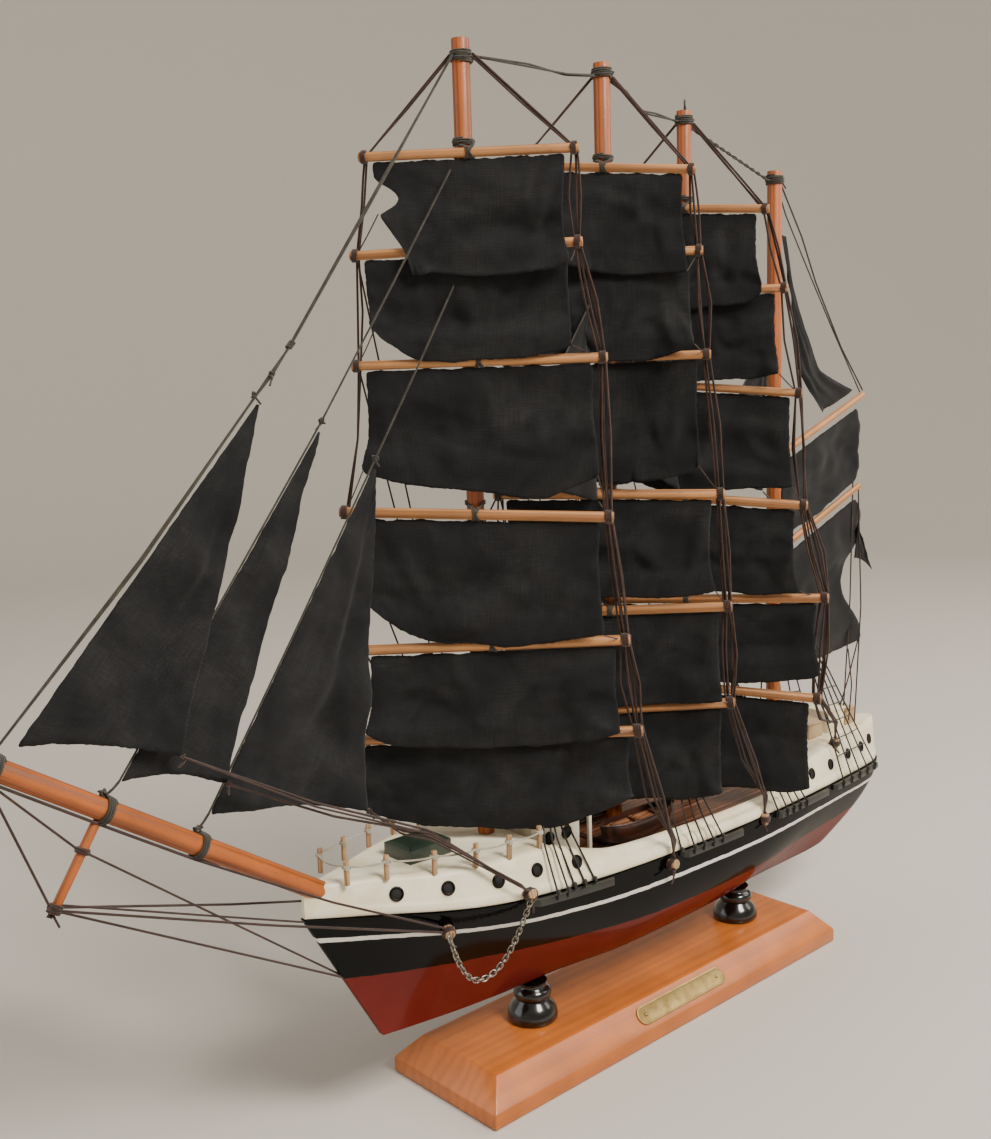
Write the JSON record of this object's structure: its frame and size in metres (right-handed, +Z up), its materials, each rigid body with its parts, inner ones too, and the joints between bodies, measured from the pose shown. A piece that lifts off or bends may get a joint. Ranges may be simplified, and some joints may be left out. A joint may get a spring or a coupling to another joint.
{
  "type": "model sailing ship",
  "caption": "Display model of a square-rigged sailing ship in painted wood with black cotton sails, thread rigging and a loop of anchor chain, on a varnished stand.",
  "frame": {"origin": "centre of the stand board's underside, on the surface that it stands on", "axes": "+X towards the bow, +Y to port, +Z up"},
  "size_m": [0.5463, 0.1234, 0.462],
  "materials": {
    "stand_varnish": "glossy orange-brown varnish",
    "black_gloss": "turned wood under gloss black lacquer",
    "brass": "thin brass sheet, lightly tarnished",
    "hull_paint": "carved wood, hand painted black over dark red with one white line, glossy",
    "cream_paint": "satin cream paint on carved wood",
    "house_white": "satin white paint",
    "stained_wood": "dark stained wood, satin",
    "mast_varnish": "orange-brown varnished dowel",
    "pale_dowel": "pale unvarnished dowel",
    "black_cotton": "thin black plain-weave cotton, slightly faded",
    "dark_thread": "twisted dark brown thread",
    "steel_chain": "small plated links"
  },
  "bodies": {
    "ship": {"stand_board": "stand_varnish", "fore_pedestal": "black_gloss", "aft_pedestal": "black_gloss", "nameplate": "brass", "hull": "hull_paint", "upper_works": "cream_paint", "deckhouse": "house_white", "lifeboats": "stained_wood", "fore_mast": "mast_varnish", "main_mast": "mast_varnish", "mizzen_mast": "mast_varnish", "jigger_mast": "mast_varnish", "bowsprit": "mast_varnish", "dolphin_striker": "mast_varnish", "upper_gaff": "pale_dowel", "lower_gaff": "pale_dowel", "gaff_topsail": "black_cotton", "upper_spanker": "black_cotton", "lower_spanker": "black_cotton", "flying_jib": "black_cotton", "outer_jib": "black_cotton", "inner_jib": "black_cotton", "standing_rigging": "dark_thread", "fore_course_yard": "pale_dowel", "fore_course_sail": "black_cotton", "fore_lower_topsail_yard": "pale_dowel", "fore_lower_topsail_sail": "black_cotton", "fore_upper_topsail_yard": "pale_dowel", "fore_upper_topsail_sail": "black_cotton", "fore_topgallant_yard": "pale_dowel", "fore_topgallant_sail": "black_cotton", "fore_royal_yard": "pale_dowel", "fore_royal_sail": "black_cotton", "fore_skysail_yard": "pale_dowel", "fore_skysail_sail": "black_cotton", "main_course_yard": "pale_dowel", "main_course_sail": "black_cotton", "main_lower_topsail_yard": "pale_dowel", "main_lower_topsail_sail": "black_cotton", "main_upper_topsail_yard": "pale_dowel", "main_upper_topsail_sail": "black_cotton", "main_topgallant_yard": "pale_dowel", "main_topgallant_sail": "black_cotton", "main_royal_yard": "pale_dowel", "main_royal_sail": "black_cotton", "main_skysail_yard": "pale_dowel", "main_skysail_sail": "black_cotton", "mizzen_course_yard": "pale_dowel", "mizzen_course_sail": "black_cotton", "mizzen_lower_topsail_yard": "pale_dowel", "mizzen_lower_topsail_sail": "black_cotton", "mizzen_upper_topsail_yard": "pale_dowel", "mizzen_upper_topsail_sail": "black_cotton", "mizzen_topgallant_yard": "pale_dowel", "mizzen_topgallant_sail": "black_cotton", "mizzen_royal_yard": "pale_dowel", "mizzen_royal_sail": "black_cotton", "mizzen_skysail_yard": "pale_dowel", "mizzen_skysail_sail": "black_cotton"},
    "chain": {"anchor_chain": "steel_chain"}
  },
  "joints": [
    {"name": "chain_swing", "type": "hinge", "parent": "ship", "child": "chain", "pos_m": [0.1086, 0.0396, 0.102], "axis": [0.9563, -0.2185, -0.1942], "range_deg": [-12, 55]}
  ]
}
